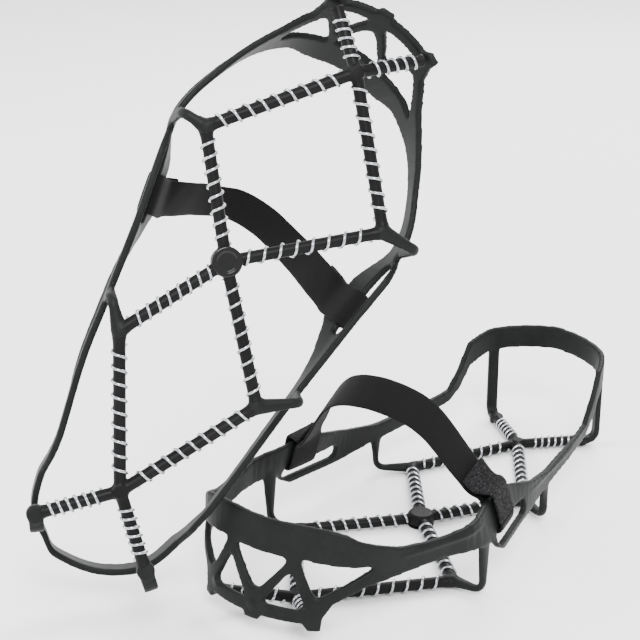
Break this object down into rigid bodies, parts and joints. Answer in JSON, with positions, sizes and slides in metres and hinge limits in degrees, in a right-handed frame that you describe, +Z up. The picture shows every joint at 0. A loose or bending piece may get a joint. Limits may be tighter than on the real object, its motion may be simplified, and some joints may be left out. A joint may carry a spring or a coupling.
{
  "type": "pair of ice traction cleats",
  "caption": "Slip-on ice traction cleats as a pair: black rubber harnesses with wire-coil treads, gloss hubs and instep straps, flat and propped up.",
  "frame": {"origin": "bottom centre of the box round both cleats, on the ground", "axes": "+Z up; +Y from the toe to the heel of the cleat that stands flat; +X towards the wearer's left of that cleat"},
  "size_m": [0.1917, 0.3826, 0.2958],
  "materials": {
    "rubber_black": "moulded matt rubber, slightly satin",
    "hub_gloss_black": "smooth gloss moulding",
    "zinc_steel_wire": "bright zinc-plated spring wire",
    "webbing_black": "flat woven nylon webbing",
    "loop_pile_grey": "brushed loop pile"
  },
  "bodies": {
    "left_cleat": {"left_bracket_front_l": "rubber_black", "left_bracket_front_r": "rubber_black", "left_bracket_rear_l": "rubber_black", "left_bracket_rear_r": "rubber_black", "left_heel_band": "rubber_black", "left_heel_cross": "rubber_black", "left_hub_cap": "hub_gloss_black", "left_hub_cross": "rubber_black", "left_rail_l": "rubber_black", "left_rail_r": "rubber_black", "left_strap": "webbing_black", "left_strap_anchor": "webbing_black", "left_toe_cross": "rubber_black", "left_toe_web": "rubber_black"},
    "right_cleat": {"right_bracket_front_l": "rubber_black", "right_bracket_front_r": "rubber_black", "right_bracket_rear_l": "rubber_black", "right_bracket_rear_r": "rubber_black", "right_heel_band": "rubber_black", "right_heel_cross": "rubber_black", "right_hub_cap": "hub_gloss_black", "right_hub_cross": "rubber_black", "right_rail_l": "rubber_black", "right_rail_r": "rubber_black", "right_strap": "webbing_black", "right_strap_anchor": "webbing_black", "right_toe_cross": "rubber_black", "right_toe_web": "rubber_black"},
    "left_strap_end": {"left_strap_tail": "loop_pile_grey"},
    "left_toe_coil_l": {"left_coil_toe_l": "zinc_steel_wire"},
    "left_toe_coil_r": {"left_coil_toe_r": "zinc_steel_wire"},
    "left_front_coil_l": {"left_coil_front_l": "zinc_steel_wire"},
    "left_front_coil_r": {"left_coil_front_r": "zinc_steel_wire"},
    "left_mid_front_coil_l": {"left_coil_mid_front_l": "zinc_steel_wire"},
    "left_mid_front_coil_r": {"left_coil_mid_front_r": "zinc_steel_wire"},
    "left_mid_rear_coil_l": {"left_coil_mid_rear_l": "zinc_steel_wire"},
    "left_mid_rear_coil_r": {"left_coil_mid_rear_r": "zinc_steel_wire"},
    "left_rear_coil_l": {"left_coil_rear_l": "zinc_steel_wire"},
    "left_rear_coil_r": {"left_coil_rear_r": "zinc_steel_wire"},
    "left_heel_coil_l": {"left_coil_heel_l": "zinc_steel_wire"},
    "left_heel_coil_r": {"left_coil_heel_r": "zinc_steel_wire"},
    "right_strap_end": {"right_strap_tail": "loop_pile_grey"},
    "right_toe_coil_l": {"right_coil_toe_l": "zinc_steel_wire"},
    "right_toe_coil_r": {"right_coil_toe_r": "zinc_steel_wire"},
    "right_front_coil_l": {"right_coil_front_l": "zinc_steel_wire"},
    "right_front_coil_r": {"right_coil_front_r": "zinc_steel_wire"},
    "right_mid_front_coil_l": {"right_coil_mid_front_l": "zinc_steel_wire"},
    "right_mid_front_coil_r": {"right_coil_mid_front_r": "zinc_steel_wire"},
    "right_mid_rear_coil_l": {"right_coil_mid_rear_l": "zinc_steel_wire"},
    "right_mid_rear_coil_r": {"right_coil_mid_rear_r": "zinc_steel_wire"},
    "right_rear_coil_l": {"right_coil_rear_l": "zinc_steel_wire"},
    "right_rear_coil_r": {"right_coil_rear_r": "zinc_steel_wire"},
    "right_heel_coil_l": {"right_coil_heel_l": "zinc_steel_wire"},
    "right_heel_coil_r": {"right_coil_heel_r": "zinc_steel_wire"}
  },
  "joints": [
    {"name": "right_cleat_lay_down", "type": "hinge", "parent": "left_cleat", "child": "right_cleat", "pos_m": [0.03418, -0.12868, 0], "axis": [0.6859, 0.7277, 0], "range_deg": [0, 106.1]},
    {"name": "left_strap_end_peel", "type": "hinge", "parent": "left_cleat", "child": "left_strap_end", "pos_m": [0.09345, -0.00266, 0.03749], "axis": [-0.1763, 0.9843, 0], "range_deg": [0, 120]},
    {"name": "left_toe_coil_l_spin", "type": "hinge", "parent": "left_cleat", "child": "left_toe_coil_l", "pos_m": [0.02212, -0.08725, 0.00524], "axis": [0.6985, -0.6872, 0.1995], "continuous": true},
    {"name": "left_toe_coil_r_spin", "type": "hinge", "parent": "left_cleat", "child": "left_toe_coil_r", "pos_m": [0.01318, -0.08697, 0.00516], "axis": [-0.7427, -0.6431, 0.1867], "continuous": true},
    {"name": "left_front_coil_l_spin", "type": "hinge", "parent": "left_cleat", "child": "left_front_coil_l", "pos_m": [0.02212, -0.07855, 0.004], "axis": [0.6991, 0.7151, 0], "continuous": true},
    {"name": "left_front_coil_r_spin", "type": "hinge", "parent": "left_cleat", "child": "left_front_coil_r", "pos_m": [0.01422, -0.07791, 0.004], "axis": [-0.5753, 0.8179, 0], "continuous": true},
    {"name": "left_mid_front_coil_l_spin", "type": "hinge", "parent": "left_cleat", "child": "left_mid_front_coil_l", "pos_m": [0.0319, 0.01917, 0.004], "axis": [0.6991, -0.715, 0], "continuous": true},
    {"name": "left_mid_front_coil_r_spin", "type": "hinge", "parent": "left_cleat", "child": "left_mid_front_coil_r", "pos_m": [0.02079, 0.01923, 0.004], "axis": [-0.7078, -0.7064, 0], "continuous": true},
    {"name": "left_mid_rear_coil_l_spin", "type": "hinge", "parent": "left_cleat", "child": "left_mid_rear_coil_l", "pos_m": [0.03095, 0.03126, 0.004], "axis": [0.5783, 0.8158, 0], "continuous": true},
    {"name": "left_mid_rear_coil_r_spin", "type": "hinge", "parent": "left_cleat", "child": "left_mid_rear_coil_r", "pos_m": [0.02181, 0.03126, 0.004], "axis": [-0.5783, 0.8158, 0], "continuous": true},
    {"name": "left_rear_coil_l_spin", "type": "hinge", "parent": "left_cleat", "child": "left_rear_coil_l", "pos_m": [0.03035, 0.13477, 0.004], "axis": [0.4964, -0.8681, 0], "continuous": true},
    {"name": "left_rear_coil_r_spin", "type": "hinge", "parent": "left_cleat", "child": "left_rear_coil_r", "pos_m": [0.02241, 0.13477, 0.004], "axis": [-0.4964, -0.8681, 0], "continuous": true},
    {"name": "left_heel_coil_l_spin", "type": "hinge", "parent": "left_cleat", "child": "left_heel_coil_l", "pos_m": [0.03223, 0.14718, 0.004], "axis": [0.7306, 0.6828, 0], "continuous": true},
    {"name": "left_heel_coil_r_spin", "type": "hinge", "parent": "left_cleat", "child": "left_heel_coil_r", "pos_m": [0.02053, 0.14718, 0.004], "axis": [-0.7306, 0.6828, 0], "continuous": true},
    {"name": "right_strap_end_peel", "type": "hinge", "parent": "right_cleat", "child": "right_strap_end", "pos_m": [0.01709, -0.03071, 0.14002], "axis": [-0.3323, -0.6439, -0.6892], "range_deg": [0, 120]},
    {"name": "right_toe_coil_l_spin", "type": "hinge", "parent": "right_cleat", "child": "right_toe_coil_l", "pos_m": [0.02005, -0.02531, 0.26113], "axis": [0.4944, 0.8655, 0.0808], "continuous": true},
    {"name": "right_toe_coil_r_spin", "type": "hinge", "parent": "right_cleat", "child": "right_toe_coil_r", "pos_m": [0.01409, -0.02944, 0.26597], "axis": [-0.4669, 0.1992, 0.8616], "continuous": true},
    {"name": "right_front_coil_l_spin", "type": "hinge", "parent": "right_cleat", "child": "right_front_coil_l", "pos_m": [0.01872, -0.03134, 0.25471], "axis": [0.2794, -0.107, -0.9542], "continuous": true},
    {"name": "right_front_coil_r_spin", "type": "hinge", "parent": "right_cleat", "child": "right_front_coil_r", "pos_m": [0.01326, -0.03534, 0.25894], "axis": [-0.6005, -0.752, -0.2718], "continuous": true},
    {"name": "right_mid_front_coil_l_spin", "type": "hinge", "parent": "right_cleat", "child": "right_mid_front_coil_l", "pos_m": [-0.00693, -0.09003, 0.18023], "axis": [0.6575, 0.745, 0.1124], "continuous": true},
    {"name": "right_mid_front_coil_r_spin", "type": "hinge", "parent": "right_cleat", "child": "right_mid_front_coil_r", "pos_m": [-0.0142, -0.09492, 0.1869], "axis": [-0.2625, 0.1259, 0.9567], "continuous": true},
    {"name": "right_mid_rear_coil_l_spin", "type": "hinge", "parent": "right_cleat", "child": "right_mid_rear_coil_l", "pos_m": [-0.00977, -0.09659, 0.17183], "axis": [0.2982, -0.0855, -0.9507], "continuous": true},
    {"name": "right_mid_rear_coil_r_spin", "type": "hinge", "parent": "right_cleat", "child": "right_mid_rear_coil_r", "pos_m": [-0.0161, -0.10168, 0.1757], "axis": [-0.5043, -0.73, -0.4613], "continuous": true},
    {"name": "right_rear_coil_l_spin", "type": "hinge", "parent": "right_cleat", "child": "right_rear_coil_l", "pos_m": [-0.02597, -0.15085, 0.08415], "axis": [0.5215, 0.7358, 0.4319], "continuous": true},
    {"name": "right_rear_coil_r_spin", "type": "hinge", "parent": "right_cleat", "child": "right_rear_coil_r", "pos_m": [-0.03141, -0.15483, 0.08836], "axis": [-0.1574, 0.2382, 0.9584], "continuous": true},
    {"name": "right_heel_coil_l_spin", "type": "hinge", "parent": "right_cleat", "child": "right_heel_coil_l", "pos_m": [-0.0273, -0.15687, 0.07322], "axis": [0.3564, -0.0168, -0.9342], "continuous": true},
    {"name": "right_heel_coil_r_spin", "type": "hinge", "parent": "right_cleat", "child": "right_heel_coil_r", "pos_m": [-0.03529, -0.16273, 0.07942], "axis": [-0.6428, -0.7493, -0.1593], "continuous": true}
  ]
}
